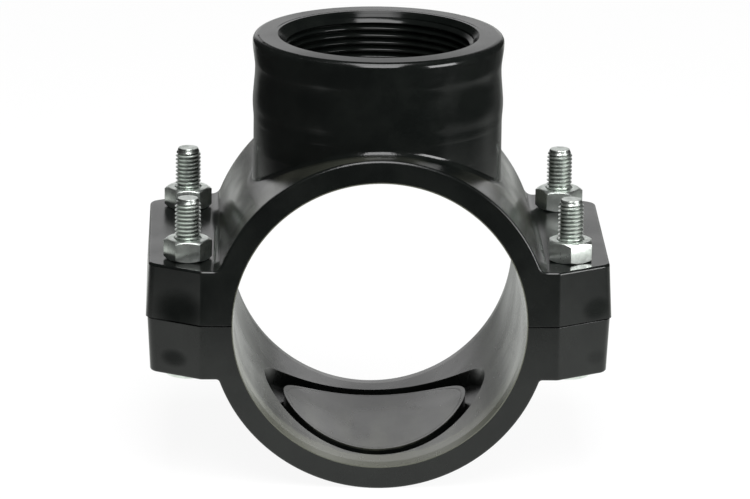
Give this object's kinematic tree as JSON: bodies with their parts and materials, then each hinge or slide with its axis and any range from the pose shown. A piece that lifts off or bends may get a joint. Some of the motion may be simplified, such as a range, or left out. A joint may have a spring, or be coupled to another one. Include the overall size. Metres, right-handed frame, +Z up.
{
  "type": "tapping saddle",
  "caption": "Two-part bolted pipe clamp in black plastic with a threaded branch, a seal ring round the tapping hole, and hexagon bolts and nuts through its ears.",
  "frame": {"origin": "centre of the pipe bore, midway along the saddle, on the parting plane", "axes": "+Y along the pipe, +Z up the threaded branch, +X to the right-hand ears"},
  "size_m": [0.144, 0.094, 0.1336],
  "materials": {
    "black_plastic": "black moulded polypropylene, semi-gloss",
    "seal_rubber": "moulded nitrile rubber",
    "zinc_steel": "bright zinc plated"
  },
  "bodies": {
    "saddle": {"saddle_body": "black_plastic", "seal_ring": "seal_rubber"},
    "strap": {"lower_strap": "black_plastic", "bolt_front_left": "zinc_steel", "bolt_front_right": "zinc_steel", "bolt_rear_left": "zinc_steel", "bolt_rear_right": "zinc_steel"},
    "nut_front_left": {"nut_front_left": "zinc_steel"},
    "nut_front_right": {"nut_front_right": "zinc_steel"},
    "nut_rear_left": {"nut_rear_left": "zinc_steel"},
    "nut_rear_right": {"nut_rear_right": "zinc_steel"}
  },
  "joints": [
    {"name": "strap_drop", "type": "slide", "parent": "saddle", "child": "strap", "axis": [0, 0, -1], "range_m": [0, 0.0125]},
    {"name": "nut_front_left_turn", "type": "hinge", "parent": "saddle", "child": "nut_front_left", "pos_m": [-0.0591, -0.0308, 0.0173], "axis": [0, 0, 1], "range_deg": [0, 3600]},
    {"name": "nut_front_right_turn", "type": "hinge", "parent": "saddle", "child": "nut_front_right", "pos_m": [0.0591, -0.0308, 0.0173], "axis": [0, 0, 1], "range_deg": [0, 3600]},
    {"name": "nut_rear_left_turn", "type": "hinge", "parent": "saddle", "child": "nut_rear_left", "pos_m": [-0.0591, 0.0308, 0.0173], "axis": [0, 0, 1], "range_deg": [0, 3600]},
    {"name": "nut_rear_right_turn", "type": "hinge", "parent": "saddle", "child": "nut_rear_right", "pos_m": [0.0591, 0.0308, 0.0173], "axis": [0, 0, 1], "range_deg": [0, 3600]}
  ],
  "couplings": [
    {"joint": "nut_front_left_turn", "follows": "strap_drop", "rad_per_m": 5026.5},
    {"joint": "nut_front_right_turn", "follows": "strap_drop", "rad_per_m": 5026.5},
    {"joint": "nut_rear_left_turn", "follows": "strap_drop", "rad_per_m": 5026.5},
    {"joint": "nut_rear_right_turn", "follows": "strap_drop", "rad_per_m": 5026.5}
  ]
}
